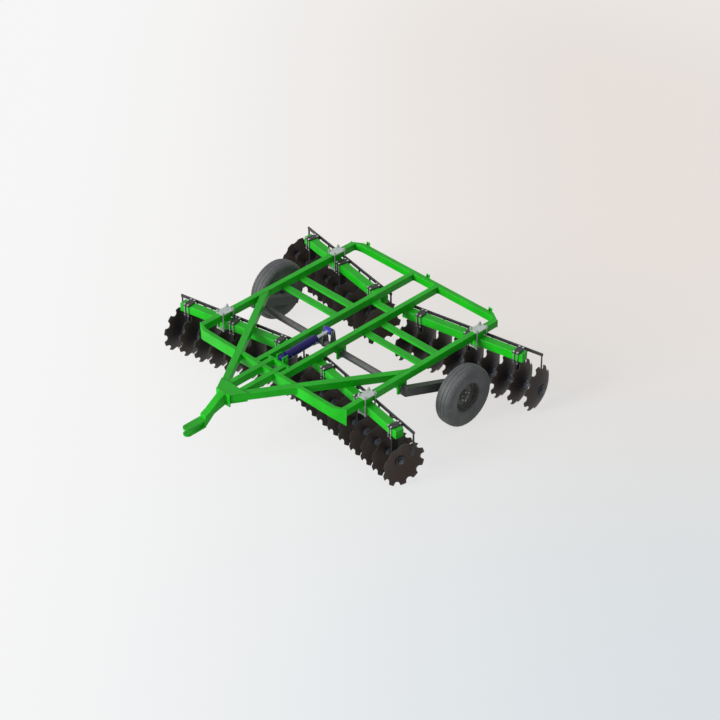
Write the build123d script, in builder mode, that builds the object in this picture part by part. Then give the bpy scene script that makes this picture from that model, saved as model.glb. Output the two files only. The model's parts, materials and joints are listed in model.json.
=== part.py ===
from build123d import *
from math import cos, radians, sin, sqrt, tan
import os

# A trailed disc harrow with four gangs of notched discs under a welded frame.
# Millimetres. X runs to the machine's left, the hitch points to -Y, Z is up.
# It stands lowered on its discs, and its two wheels just touch the ground.

# Discs
disc_r = 305.0
disc_dish = 75.0
disc_steel = 6.0
disc_hub = 74.0
notch_count = 10
notch_depth = 43.0
tooth_w = 94.0
disc_pitch = 240.0

# Gangs
gang_angle = 10.6
axle_side = 38.0
spool_r = 30.0
end_washer_r = 72.0
end_washer_t = 12.0
end_nut_r = 34.0
end_nut_l = 32.0
beam_side = 115.0
beam_overhang = 630.0
hanger_t = 30.0
bearing_r = 60.0
bearing_w = 70.0
scraper_offset = 125.0
scraper_side = 95.0
blade_drop = 335.0
plate_t = 16.0

# Main frame
frame_y = 646.4
frame_top = 858.0
half_width = 1305.0
half_length = 1432.0
rail_w = 75.0
rail_h = 100.0
bar_w = 56.0
bar_h = 150.0
cheek_drop = 90.0
corner_x = 150.0
corner_y = 95.0
centre_rail_x = 215.0
centre_rail_w = 70.0
tongue_bar_x = 107.0
tongue_bar_l = 755.0
member_w = 100.0
member_h = 30.0
diagonal_w = 88.0
diagonal_run = 1132.0
nose_reach = 698.0
nose_l = 180.0
nose_t = 14.0
nose_half = 120.0

# Tongue and its clevis
tongue_w = 100.0
clevis_reach = 595.0
clevis_drop = 262.0
ear_t = 22.0
ear_gap = 70.0
ear_r = 55.0
ear_l = 250.0
pin_bore_r = 16.0

# Lift: a cross shaft, two trailing arms, a lever and two wheels
shaft_run = 1082.0
shaft_drop = 195.0
shaft_r = 45.0
arm_length = 722.0
arm_gap = 14.0
arm_w = 120.0
arm_t = 86.0
stub_r = 30.0
lever_length = 225.0
lever_gap = 62.0
wheel_reach = 306.0
tyre_r = 410.0
tyre_w = 240.0
tyre_shoulder = 40.0
tyre_sides = 36
rim_r = 205.0
rim_w = 180.0
rim_steel = 14.0
hub_r = 75.0
hub_l = 60.0
rim_holes = 8
rim_hole_r = 19.0

# Hydraulic cylinder
anchor_run = 282.0
anchor_rise = 12.0
anchor_gap = 44.0
anchor_plate_t = 36.0
anchor_pin_r = 16.0
barrel_start = 58.0
barrel_r = 57.0
barrel_l = 500.0
rod_r = 25.0
rod_l = 400.0
eye_r = 43.0
eye_l = 110.0
eye_pin_r = 15.0
eye_play = 11.0

# Clearance of a round shaft in its hole
running_gap = 0.1

# Heights and places worked out from the sizes above
axle_z = disc_r
rail_low = frame_top - rail_h
beam_low = rail_low - beam_side
front_y = frame_y - half_length
rear_y = frame_y + half_length
rail_x = half_width - rail_w / 2
inner_x = half_width - rail_w
corner_in = half_width - corner_x
centre_inner = centre_rail_x - centre_rail_w / 2
centre_outer = centre_rail_x + centre_rail_w / 2
nose_front = front_y - nose_reach
clevis_y = nose_front - clevis_reach
clevis_z = frame_top - clevis_drop
shaft_y = front_y + shaft_run
shaft_z = frame_top - shaft_drop
eye_z = shaft_z + lever_length
arm_x = half_width + arm_gap + arm_t / 2
wheel_x = arm_x + wheel_reach
wheel_z = tyre_r
wheel_y = shaft_y + sqrt(arm_length**2 - (shaft_z - wheel_z) ** 2)
anchor_y = front_y + anchor_run
anchor_z = frame_top + anchor_rise
bar_rear = anchor_y - 85

# The four gangs: name, Y where the gang's line crosses the middle, its slant
# outwards, how far its outermost hub is beyond the frame, the least distance
# of its innermost hub, hollow sides outwards, the disc before its first hanger
gangs = (
    ("front", front_y + 718, -1, 645.0, 50.0, True, 0),
    ("rear", rear_y - 642, 1, 894.0, 300.0, False, 1),
)

os.makedirs("parts", exist_ok=True)


def save(piece, name):
    """Label one sub-part and write it out."""
    piece.label = name
    export_step(piece, f"parts/{name}.step")


def save_pair(piece, name):
    """Write the left piece, and its mirror image as the right one."""
    save(piece, f"{name}_left")
    save(mirror(piece, about=Plane.YZ), f"{name}_right")


def block(x0, x1, y0, y1, z0, z1):
    """A box between two corners, in the builder that is open."""
    with Locations(((x0 + x1) / 2, (y0 + y1) / 2, (z0 + z1) / 2)):
        Box(abs(x1 - x0), abs(y1 - y0), abs(z1 - z0))


# Side rails, cut to meet the chamfered corners of the beams
with BuildPart() as side_rail:
    block(inner_x, half_width, front_y + corner_y, rear_y - corner_y, rail_low, frame_top)
save_pair(side_rail.part, "side_rail")

# Rear beam with a chamfer at each end, and three lugs on its back
inside_in = corner_in - 30
lug_x = corner_in - 65
with BuildPart() as rear_beam:
    with BuildSketch(Plane.XY.offset(rail_low)):
        with BuildLine():
            Polyline(
                (-half_width, rear_y - corner_y),
                (-corner_in, rear_y),
                (corner_in, rear_y),
                (half_width, rear_y - corner_y),
                (inner_x, rear_y - corner_y),
                (inside_in, rear_y - rail_w),
                (-inside_in, rear_y - rail_w),
                (-inner_x, rear_y - corner_y),
                close=True,
            )
        make_face()
    extrude(amount=rail_h)
    for x in (-lug_x, 0, lug_x):
        block(x - 30, x + 30, rear_y, rear_y + plate_t, frame_top - 60, frame_top + 40)
save(rear_beam.part, "rear_beam")

# Diagonals from the side rails to the nose: ends of the centre line in plan
diagonal_rear = (inner_x, front_y + diagonal_run)
diagonal_front = (78.0, nose_front + 35)
reach_x = diagonal_rear[0] - diagonal_front[0]
reach_y = diagonal_rear[1] - diagonal_front[1]
reach = sqrt(reach_x**2 + reach_y**2)
side_x = diagonal_w / 2 * reach_y / reach
side_y = diagonal_w / 2 * reach_x / reach


def rail_meet(x_offset, y_offset):
    """Where one edge of the diagonal meets the rail's inner face."""
    step = (reach_x - x_offset) * reach_y / reach_x
    return (inner_x, diagonal_front[1] + y_offset + step)


with BuildPart() as diagonal:
    with BuildSketch(Plane.XY.offset(rail_low)):
        with BuildLine():
            Polyline(
                (diagonal_front[0] - side_x, diagonal_front[1] + side_y),
                rail_meet(-side_x, side_y),
                rail_meet(side_x, -side_y),
                (diagonal_front[0] + side_x, diagonal_front[1] - side_y),
                close=True,
            )
        make_face()
    extrude(amount=rail_h)
save_pair(diagonal.part, "diagonal")

# Two bars from the nose back to the cylinder's anchor
bar_half = centre_rail_w / 2
with BuildPart() as tongue_bar:
    block(tongue_bar_x - bar_half, tongue_bar_x + bar_half, bar_rear - tongue_bar_l, bar_rear, rail_low, frame_top)
    add(diagonal.part, mode=Mode.SUBTRACT)
tongue_bar_solid = tongue_bar.part.solids().sort_by(Axis.Y)[-1]
with BuildPart() as tongue_bars:
    add(tongue_bar_solid)
    add(mirror(tongue_bar_solid, about=Plane.YZ))
save(tongue_bars.part, "tongue_bars")

# Front bar, with a deep cheek at each end, let in between the bars that cross it
cheek_top = frame_top - bar_h
cheek_low = cheek_top - cheek_drop
with BuildPart() as front_bar:
    block(-corner_in, corner_in, front_y, front_y + bar_w, cheek_top, frame_top)
    for side in (-1, 1):
        with BuildSketch(Plane.XY.offset(cheek_low)):
            with BuildLine():
                Polyline(
                    (side * corner_in, front_y),
                    (side * half_width, front_y + corner_y),
                    (side * (half_width - bar_w), front_y + corner_y),
                    (side * corner_in, front_y + bar_w),
                    close=True,
                )
            make_face()
        extrude(amount=bar_h + cheek_drop)
        # the cheek's lower edge slopes back up to the bar
        with BuildSketch(Plane.XZ.offset(-front_y + 10)):
            with BuildLine():
                Polyline(
                    (side * (corner_in - 1), cheek_top),
                    (side * (half_width + 1), cheek_low),
                    (side * (half_width + 1), cheek_low - 10),
                    (side * (corner_in - 1), cheek_low - 10),
                    close=True,
                )
            make_face()
        extrude(amount=-(corner_y + 20), mode=Mode.SUBTRACT)
    add(diagonal.part, mode=Mode.SUBTRACT)
    add(mirror(diagonal.part, about=Plane.YZ), mode=Mode.SUBTRACT)
    add(tongue_bars.part, mode=Mode.SUBTRACT)
save(front_bar.part, "front_bar")

# Centre rails from the front bar to the rear beam
with BuildPart() as centre_rails:
    for side in (-1, 1):
        block(side * centre_inner, side * centre_outer, front_y + bar_w, rear_y - rail_w, rail_low, frame_top)
save(centre_rails.part, "centre_rails")

# Flat cross members between each side rail and its centre rail, and one
# between the centre rails, each by how far it is behind the front bar
with BuildPart() as cross_members:
    for member_run in (1494, 1787):
        y = front_y + member_run
        block(centre_outer, inner_x, y - member_w / 2, y + member_w / 2, rail_low, rail_low + member_h)
save_pair(cross_members.part, "cross_members")

with BuildPart() as centre_member:
    y = front_y + 2056
    block(-centre_inner, centre_inner, y - member_w / 2, y + member_w / 2, rail_low, rail_low + member_h)
save(centre_member.part, "centre_member")

# Nose: plates over and under the ends of the diagonals, and one across them
with BuildPart() as nose:
    for z in (rail_low - nose_t, frame_top):
        with BuildSketch(Plane.XY.offset(z)):
            with BuildLine():
                Polyline(
                    (-nose_half, nose_front),
                    (nose_half, nose_front),
                    (232, nose_front + nose_l),
                    (-232, nose_front + nose_l),
                    close=True,
                )
            make_face()
        extrude(amount=nose_t)
    block(-nose_half, nose_half, nose_front - plate_t, nose_front, rail_low - 60, frame_top + nose_t)
save(nose.part, "nose")

# Tongue: a box that drops from the nose to the back of the clevis
clevis_half = ear_gap / 2 + ear_t
tongue_rear = nose_front - plate_t
tongue_front = clevis_y + ear_l
with BuildPart() as tongue:
    with BuildSketch(Plane.YZ.offset(-tongue_w / 2)):
        with BuildLine():
            Polyline(
                (tongue_rear, frame_top + 10),
                (tongue_rear - 69, frame_top - 10),
                (tongue_front + 80, clevis_z + 135),
                (tongue_front, clevis_z + 100),
                (tongue_front, clevis_z - clevis_half),
                (tongue_rear - 184, clevis_z + 67),
                (tongue_rear, rail_low - 50),
                close=True,
            )
        make_face()
    extrude(amount=tongue_w)
save(tongue.part, "tongue")

# Clevis: two long flat ears with the drawbar pin's bore through both
with BuildPart() as clevis:
    for z in (-clevis_half, ear_gap / 2):
        with BuildSketch(Plane.XY.offset(clevis_z + z)):
            with Locations((0, clevis_y)):
                Circle(ear_r)
            with Locations((0, clevis_y + ear_l / 2)):
                Rectangle(2 * ear_r, ear_l)
        extrude(amount=ear_t)
    block(-ear_r, ear_r, tongue_front - ear_t, tongue_front, clevis_z - clevis_half, clevis_z + clevis_half)
    with Locations((0, clevis_y, clevis_z)):
        Cylinder(pin_bore_r, 2 * clevis_half, mode=Mode.SUBTRACT)
save(clevis.part, "clevis")

# One flat of a notched disc: the dished sheet in section, cut to a wedge
# with half a notch on each side. The hollow side is up.
half_step = radians(180 / notch_count)
floor_x = (disc_r - notch_depth) * cos(half_step)
floor_y = (disc_r - notch_depth) * sin(half_step)
with BuildPart() as disc_flat:
    with BuildSketch(Plane.XZ):
        with BuildLine():
            Polyline(
                (0, 0),
                (disc_hub, 0),
                (disc_r, disc_dish),
                (disc_r, disc_dish + disc_steel),
                (disc_hub, disc_steel),
                (0, disc_steel),
                close=True,
            )
        make_face()
    extrude(amount=disc_r, both=True)
    with BuildSketch():
        with BuildLine():
            Polyline(
                (0, 0),
                (floor_x, -floor_y),
                (disc_r, -tooth_w / 2),
                (disc_r, tooth_w / 2),
                (floor_x, floor_y),
                close=True,
            )
        make_face()
    extrude(amount=disc_dish + 2 * disc_steel, mode=Mode.INTERSECT)

# The whole disc, with the square hole for its axle
with BuildPart() as disc:
    with PolarLocations(0, notch_count):
        add(disc_flat.part)
    Box(axle_side + 1, axle_side + 1, 4 * disc_steel, mode=Mode.SUBTRACT)

# Hanger: a standard from a plate under the beam to a bearing round the axle
hanger_top = beam_low - axle_z
with BuildPart() as hanger:
    with BuildSketch(Plane.YZ.offset(-hanger_t / 2)):
        with BuildLine():
            Polyline((-46, hanger_top), (46, hanger_top), (bearing_r - 8, 0), (8 - bearing_r, 0), close=True)
        make_face()
    extrude(amount=hanger_t)
    with Locations((0, 0, hanger_top - plate_t / 2)):
        Box(90, beam_side + 50, plate_t)
    with BuildSketch(Plane.YZ.offset(-bearing_w / 2)):
        RegularPolygon(bearing_r, 8, rotation=22.5)
    extrude(amount=bearing_w)
    with Locations(Location((0, 0, 0), (0, 90, 0))):
        Cylinder(spool_r + running_gap, bearing_w, mode=Mode.SUBTRACT)

# Scraper: a flat shank that drops from its bar and widens to a blade
bar_z = rail_low - axle_z - 26
with BuildPart() as scraper:
    with BuildSketch(Plane.YZ.offset(-5)):
        with BuildLine():
            Polyline(
                (scraper_offset - 10, bar_z),
                (scraper_offset + 10, bar_z),
                (scraper_offset + 20, bar_z - blade_drop),
                (scraper_offset - 60, bar_z - blade_drop),
                (scraper_offset - 10, bar_z - blade_drop + 90),
                close=True,
            )
        make_face()
    extrude(amount=10)

for name, mid_y, slant, beyond, least_s, hollow_out, first in gangs:
    run = (cos(radians(gang_angle)), slant * sin(radians(gang_angle)), 0)
    line = Plane(origin=(0, mid_y, axle_z), x_dir=run, z_dir=(0, 0, 1)).location
    outer_s = (half_width + beyond) / run[0]
    discs_here = int((outer_s - least_s) / disc_pitch) + 1
    hubs = [outer_s - disc_pitch * k for k in range(discs_here)]
    face = 1 if hollow_out else -1
    steel_out = disc_steel if hollow_out else 0
    steel_in = disc_steel - steel_out

    with BuildPart() as discs:
        for s in hubs:
            with Locations(line * Location((s, 0, 0), (0, 90 * face, 0))):
                add(disc.part)
    save_pair(discs.part, f"discs_{name}")

    # axle: a square bar through the discs, a spool between each two of them,
    # and a washer and a nut at each end
    axle_in = hubs[-1] - steel_in
    axle_out = hubs[0] + steel_out
    with BuildPart() as axle:
        with Locations(line * Location(((axle_in + axle_out) / 2, 0, 0))):
            Box(axle_out - axle_in + end_washer_t, axle_side, axle_side)
        for outer, inner in zip(hubs, hubs[1:]):
            with BuildSketch(Plane(line * Location((inner + steel_out, 0, 0), (0, 90, 0)))):
                RegularPolygon(spool_r, 8)
            extrude(amount=disc_pitch - disc_steel)
        for end, out in ((axle_out, 1), (axle_in, -1)):
            with BuildSketch(Plane(line * Location((end, 0, 0), (0, 90 * out, 0)))):
                RegularPolygon(end_washer_r, 12)
            extrude(amount=end_washer_t)
            with BuildSketch(Plane(line * Location((end + out * end_washer_t, 0, 0), (0, 90 * out, 0)))):
                RegularPolygon(end_nut_r, 6)
            extrude(amount=end_nut_l)
    save_pair(axle.part, f"axle_{name}")

    # gang beam under the frame, from the centre rail outwards
    beam_in = (centre_inner + 5) / run[0]
    beam_out = (half_width + beam_overhang) / run[0]
    with BuildPart() as beam:
        with Locations(line * Location(((beam_in + beam_out) / 2, 0, rail_low - beam_side / 2 - axle_z))):
            Box(beam_out - beam_in, beam_side, beam_side)
    save_pair(beam.part, f"gang_beam_{name}")

    # hangers that carry the axle, the outermost with a cap on top of the beam
    hanger_s = [hubs[k] - disc_pitch / 2 for k in range(first, discs_here - 1, 3)]
    with BuildPart() as hangers:
        for s in hanger_s:
            with Locations(line * Location((s, 0, 0))):
                add(hanger.part)
        with Locations(line * Location((hanger_s[0], 0, rail_low - axle_z + plate_t / 2))):
            Box(90, beam_side + 50, plate_t)
    save_pair(hangers.part, f"hangers_{name}")

    # scraper bar behind the beam, on three brackets, with a scraper for each disc
    side = face * scraper_side
    with BuildPart() as scrapers:
        with Locations(line * Location(((hubs[0] + hubs[-1]) / 2 + side, scraper_offset, bar_z))):
            Box(hubs[0] - hubs[-1] + 30, 20, 36)
        for s in hubs:
            with Locations(line * Location((s + side, 0, 0))):
                add(scraper.part)
        for s in hubs[1:-1:3]:
            with Locations(line * Location((s - 60, (scraper_offset + beam_side / 2) / 2, bar_z))):
                Box(40, scraper_offset - beam_side / 2, plate_t)
    save_pair(scrapers.part, f"scrapers_{name}")

# Clamp plates that hold each gang beam under its side rail
with BuildPart() as rail_clamps:
    for name, mid_y, slant, *rest in gangs:
        y = mid_y + slant * rail_x * tan(radians(gang_angle))
        for z in (beam_low - plate_t, frame_top):
            block(rail_x - 66, rail_x + 66, y - 98, y + 98, z, z + plate_t)
save_pair(rail_clamps.part, "rail_clamps")

# Lift shaft with its two arms, the wheel stubs, and the lever that the
# cylinder pushes, which is two cheeks welded on the middle of the shaft
arm_plane = Plane(origin=(0, shaft_y, shaft_z), x_dir=(0, wheel_y - shaft_y, wheel_z - shaft_z), z_dir=(1, 0, 0))
stub_l = wheel_reach + hub_l
with BuildPart() as lift_shaft:
    with Locations(Location((0, shaft_y, shaft_z), (0, 90, 0))):
        Cylinder(shaft_r, 2 * arm_x + arm_t)
    for side in (-1, 1):
        with Locations(arm_plane.location * Location((arm_length / 2, 0, side * arm_x))):
            Box(arm_length + arm_w, arm_w, arm_t)
        with Locations(arm_plane.location * Location((arm_length, 0, side * (arm_x + stub_l / 2)))):
            Cylinder(stub_r, stub_l)
        with BuildSketch(Plane.YZ.offset(side * (lever_gap + plate_t / 2) - plate_t / 2)):
            with BuildLine():
                Polyline(
                    (shaft_y - 60, shaft_z - 20),
                    (shaft_y - 30, eye_z + 20),
                    (shaft_y - 15, eye_z + 34),
                    (shaft_y + 15, eye_z + 34),
                    (shaft_y + 30, eye_z + 20),
                    (shaft_y + 60, shaft_z - 20),
                    close=True,
                )
            make_face()
        extrude(amount=plate_t)
    with Locations(Location((0, shaft_y, eye_z), (0, 90, 0))):
        Cylinder(eye_pin_r, 2 * lever_gap + 60)
save(lift_shaft.part, "lift_shaft")

# Bearing plates that hold the shaft under the rails
with BuildPart() as shaft_bearings:
    for x in (-rail_x, -centre_rail_x, centre_rail_x, rail_x):
        block(x - 14, x + 14, shaft_y - 75, shaft_y + 75, shaft_z - 70, rail_low)
    with Locations(Location((0, shaft_y, shaft_z), (0, 90, 0))):
        Cylinder(shaft_r + running_gap, 2 * arm_x, mode=Mode.SUBTRACT)
save(shaft_bearings.part, "shaft_bearings")

# Tyre: its tread and its bore in flats, with sloping shoulders and beads
wheel_plane = Plane(origin=(wheel_x, wheel_y, wheel_z), x_dir=(0, 1, 0), z_dir=(1, 0, 0))
turn = 180 / tyre_sides
with BuildPart() as tyre:
    with BuildSketch(wheel_plane):
        RegularPolygon(tyre_r, tyre_sides, major_radius=False, rotation=turn)
    extrude(amount=tyre_w / 2, both=True)
    chamfer(tyre.faces().filter_by(Axis.X).edges(), length=tyre_shoulder)
    with BuildSketch(wheel_plane):
        RegularPolygon(rim_r, tyre_sides, major_radius=False, rotation=turn)
    extrude(amount=tyre_w, both=True, mode=Mode.SUBTRACT)
    bead = tyre.faces().filter_by(Axis.X).edges().group_by(SortBy.LENGTH)[0]
    chamfer(bead, length=(tyre_w - rim_w) / 2)
save_pair(tyre.part, "tyre")

# Rim: a ring inside the tyre, a wheel disc with holes, and a hub on the stub
with BuildPart() as rim:
    with BuildSketch(wheel_plane):
        RegularPolygon(rim_r, tyre_sides, major_radius=False, rotation=turn)
        RegularPolygon(rim_r - rim_steel, tyre_sides, major_radius=False, rotation=turn, mode=Mode.SUBTRACT)
    extrude(amount=rim_w / 2, both=True)
    with BuildSketch(wheel_plane):
        RegularPolygon(rim_r - rim_steel, tyre_sides, major_radius=False, rotation=turn)
        with PolarLocations((hub_r + rim_r - rim_steel) / 2, rim_holes):
            RegularPolygon(rim_hole_r, 8, mode=Mode.SUBTRACT)
    extrude(amount=20)
    with BuildSketch(wheel_plane):
        RegularPolygon(hub_r, 12)
    extrude(amount=hub_l, both=True)
    with Locations(wheel_plane.location):
        Cylinder(stub_r + running_gap, 2 * hub_l, mode=Mode.SUBTRACT)
save_pair(rim.part, "rim")

# Anchor for the cylinder, between the ends of the tongue bars
with BuildPart() as anchor:
    plate_rear = bar_rear + anchor_plate_t
    block(-centre_inner, centre_inner, bar_rear, plate_rear, rail_low, frame_top)
    for side in (-1, 1):
        cheek_out = anchor_gap + plate_t
        block(side * anchor_gap, side * cheek_out, plate_rear, anchor_y + 40, rail_low, frame_top + 60)
    with Locations(Location((0, anchor_y, anchor_z), (0, 90, 0))):
        Cylinder(anchor_pin_r, 2 * cheek_out + 30)
save(anchor.part, "anchor")

# Cylinder: a barrel on the anchor's pin, a rod with its eye at the lever
ram_length = sqrt((shaft_y - anchor_y) ** 2 + (eye_z - anchor_z) ** 2)
ram = Plane(origin=(0, anchor_y, anchor_z), x_dir=(0, shaft_y - anchor_y, eye_z - anchor_z), z_dir=(1, 0, 0)).location
with BuildPart() as barrel:
    with Locations(ram * Location((barrel_start + barrel_l / 2, 0, 0), (0, 90, 0))):
        Cylinder(barrel_r, barrel_l)
    with Locations(ram * Location((barrel_start / 2, 0, 0))):
        Box(barrel_start + 2, 60, 80)
    with Locations(ram):
        Cylinder(38, 80)
        Cylinder(anchor_pin_r + running_gap, 90, mode=Mode.SUBTRACT)
    with Locations(ram * Location((barrel_start + barrel_l / 2 + 60, 0, 0), (0, 90, 0))):
        Cylinder(rod_r + running_gap, barrel_l, mode=Mode.SUBTRACT)
save(barrel.part, "barrel")

with BuildPart() as rod:
    with Locations(ram * Location((ram_length - 30 - rod_l / 2, 0, 0), (0, 90, 0))):
        Cylinder(rod_r, rod_l)
    with Locations(ram * Location((ram_length, 0, 0))):
        Cylinder(eye_r, eye_l)
        Cylinder(eye_pin_r + eye_play, eye_l, mode=Mode.SUBTRACT)
save(rod.part, "rod")
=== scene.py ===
import json
from math import asin, cos, pi, radians, sin, sqrt

import bmesh
import bpy
from mathutils import Matrix, Vector
from mathutils.bvhtree import BVHTree


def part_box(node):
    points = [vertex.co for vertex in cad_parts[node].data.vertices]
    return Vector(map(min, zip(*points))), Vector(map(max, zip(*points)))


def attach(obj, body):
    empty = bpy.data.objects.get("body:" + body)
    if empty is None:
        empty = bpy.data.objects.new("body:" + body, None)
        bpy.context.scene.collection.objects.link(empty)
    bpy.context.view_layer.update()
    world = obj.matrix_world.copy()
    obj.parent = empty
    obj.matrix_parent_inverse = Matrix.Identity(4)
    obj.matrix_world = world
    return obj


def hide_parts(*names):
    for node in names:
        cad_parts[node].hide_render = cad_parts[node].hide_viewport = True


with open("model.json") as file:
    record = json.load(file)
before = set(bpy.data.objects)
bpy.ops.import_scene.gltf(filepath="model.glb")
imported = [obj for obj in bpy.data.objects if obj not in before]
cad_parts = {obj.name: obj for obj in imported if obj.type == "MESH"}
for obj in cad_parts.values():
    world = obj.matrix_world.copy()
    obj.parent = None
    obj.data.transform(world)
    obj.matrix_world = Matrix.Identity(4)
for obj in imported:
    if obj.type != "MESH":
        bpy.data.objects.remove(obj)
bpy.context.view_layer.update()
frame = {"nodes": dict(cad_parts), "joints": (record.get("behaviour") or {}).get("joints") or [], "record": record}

nodes = frame["nodes"]
joints = {joint["name"]: joint for joint in frame["joints"]}


def linked(name, data):
    """A new object in the scene."""
    made = bpy.data.objects.new(name, data)
    bpy.context.collection.objects.link(made)
    return made


def carrying(first, second, third, place):
    """The matrix that turns X, Y and Z to three ways and sets the origin in a place."""
    return Matrix((*zip(first, second, third, place), (0, 0, 0, 1)))


# Camera: a long lens far off the machine's front left corner, looking down on
# it, so that the rails' lines hardly draw together.
turn, rise, far = radians(45), radians(35.4), 29.41
aside, above = 0.1384, -0.4855
focal_mm, film_mm = 116.9, 36
rail_low, rail_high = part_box("side_rail_left")
frame_middle = Vector((0, (rail_low.y + rail_high.y) / 2, rail_high.z))
toward = Vector((sin(turn) * cos(rise), -cos(turn) * cos(rise), sin(rise)))
right = Vector((cos(turn), sin(turn), 0))
upward = toward.cross(right)
lens = bpy.data.cameras.new("camera")
lens.lens = focal_mm
lens.sensor_width = film_mm
camera = linked("camera", lens)
spot = frame_middle + aside * right + above * upward + far * toward
camera.matrix_world = carrying(right, upward, toward, spot)
bpy.context.scene.camera = camera
bpy.context.scene.view_settings.view_transform = "Standard"


# Studio: a wide pale floor that keeps a soft shadow, one broad low lamp from
# the machine's front, and an even pale sky.
def add_node(tree, kind, inputs=None, **settings):
    """One node of a tree, its inputs given by name or number as values or as links."""
    node = tree.nodes.new(kind)
    for name, value in settings.items():
        setattr(node, name, value)
    for name, value in (inputs or {}).items():
        if isinstance(value, bpy.types.NodeSocket):
            tree.links.new(value, node.inputs[name])
        else:
            node.inputs[name].default_value = value
    return node


def blank(owner):
    """The node tree of a material or of the sky, emptied."""
    owner.use_nodes = True
    owner.node_tree.nodes.clear()
    return owner.node_tree


def counted(tree, operation, first, second):
    """A plain operation on two values."""
    return add_node(tree, "ShaderNodeMath", {0: first, 1: second}, operation=operation).outputs[0]


def along(tree, vector, way):
    """How far a vector reaches one way."""
    dot = add_node(tree, "ShaderNodeVectorMath", {0: vector, 1: way}, operation="DOT_PRODUCT")
    return dot.outputs["Value"]


def mapped(tree, value, low=0.0, high=1.0, to_low=0.0, to_high=1.0, **settings):
    """A value carried from one range over to another, and held inside it."""
    return add_node(tree, "ShaderNodeMapRange", {
        "Value": value, "From Min": low, "From Max": high, "To Min": to_low, "To Max": to_high,
    }, **settings).outputs[0]


def blended(tree, share, first, second):
    """A colour between two others."""
    mix = add_node(tree, "ShaderNodeMix", {"Factor": share, 6: first, 7: second}, data_type="RGBA")
    return mix.outputs[2]


def seen_by(tree, *kinds):
    """One for the given kinds of ray, and nought for all others."""
    ray = add_node(tree, "ShaderNodeLightPath").outputs
    seen = ray[f"Is {kinds[0]} Ray"]
    for kind in kinds[1:]:
        seen = counted(tree, "MAXIMUM", seen, ray[f"Is {kind} Ray"])
    return seen


floor_half, floor_glow = 60, 0.80
floor_white, floor_warm, floor_cool = (1.0, 1.0, 1.0, 1), (0.86, 0.805, 0.765, 1), (0.76, 0.81, 0.84, 1)
cool_from, cool_to, tint_from, tint_to, fade_from, fade_to = -3.0, 5.0, -4.5, 4.5, 9.0, 20.0
soft = {"interpolation_type": "SMOOTHSTEP"}
floor_paint = bpy.data.materials.new("studio_floor")
tree = blank(floor_paint)
place = add_node(tree, "ShaderNodeTexCoord").outputs["Object"]
distance = add_node(tree, "ShaderNodeVectorMath", {0: place}, operation="LENGTH").outputs["Value"]
cooler = mapped(tree, along(tree, place, (toward.x, toward.y, 0)), cool_from, cool_to, **soft)
deeper = mapped(tree, along(tree, place, right), tint_from, tint_to, **soft)
near = mapped(tree, distance, fade_from, fade_to, 1.0, 0.0, **soft)
tone = blended(tree, cooler, floor_warm, floor_cool)
tint = blended(tree, counted(tree, "MULTIPLY", deeper, near), floor_white, tone)
share = counted(tree, "MULTIPLY", seen_by(tree, "Camera", "Glossy", "Transmission"), floor_glow)
matt = add_node(tree, "ShaderNodeBsdfDiffuse", {"Color": tint})
glow = add_node(tree, "ShaderNodeEmission", {"Color": tint, "Strength": 1.0})
blend = add_node(tree, "ShaderNodeMixShader", {0: share, 1: matt.outputs[0], 2: glow.outputs[0]})
add_node(tree, "ShaderNodeOutputMaterial", {"Surface": blend.outputs[0]})

corners = [(x * floor_half, y * floor_half, 0) for x, y in ((-1, -1), (1, -1), (1, 1), (-1, 1))]
floor_mesh = bpy.data.meshes.new("studio_floor")
floor_mesh.from_pydata(corners, [], [(0, 1, 2, 3)])
floor_mesh.materials.append(floor_paint)
floor = linked("studio_floor", floor_mesh)

lamp_from, lamp_power, lamp_spread = Vector((-0.28, -0.92, 0.40)), 2.75, radians(24)
lamp = bpy.data.lights.new("window_light", "SUN")
lamp.energy = lamp_power
lamp.angle = lamp_spread
linked("window_light", lamp).rotation_euler = lamp_from.to_track_quat("Z", "Y").to_euler()

sky_light, sky_seen, sky_colour = 0.30, 0.95, (0.97, 0.98, 1.0, 1)
sky = bpy.data.worlds.new("pale_sky")
bpy.context.scene.world = sky
tree = blank(sky)
level = mapped(tree, seen_by(tree, "Camera", "Glossy"), to_low=sky_light, to_high=sky_seen)
glow = add_node(tree, "ShaderNodeBackground", {"Color": sky_colour, "Strength": level})
add_node(tree, "ShaderNodeOutputWorld", {"Surface": glow.outputs[0]})


# Frame: square tubes and flat bars of mild steel, welded and sprayed green.
# Every sawn or bent edge is a little round, and shows paler through the paint.
def toned(colour, share=1.0):
    """A colour made darker or paler by a share, with its alpha."""
    return tuple(min(1, c * share) for c in colour) + (1,)


def noise(tree, place, scale, detail, roughness=0.5):
    """A cloudy value over a place."""
    return add_node(tree, "ShaderNodeTexNoise", {
        "Vector": place, "Scale": scale, "Detail": detail, "Roughness": roughness,
    }).outputs["Fac"]


def surface(tree, colour, gloss, height, depth, metal=0.0, shine=0.5):
    """Ends a finish: one shader, its bumps following a height map."""
    bump = add_node(tree, "ShaderNodeBump", {"Height": height, "Strength": depth, "Distance": 0.001})
    body = add_node(tree, "ShaderNodeBsdfPrincipled", {
        "Base Color": colour, "Roughness": gloss, "Metallic": metal, "Specular IOR Level": shine,
        "Normal": bump.outputs[0],
    })
    add_node(tree, "ShaderNodeOutputMaterial", {"Surface": body.outputs[0]})


# the pale film's colour (dust, and on faces that look up a painted sheen), and the primer's colour under chips
dust_and_sheen_colour, primer_colour = (0.35, 0.33, 0.28, 1), (0.22, 0.22, 0.21, 1)


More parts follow.
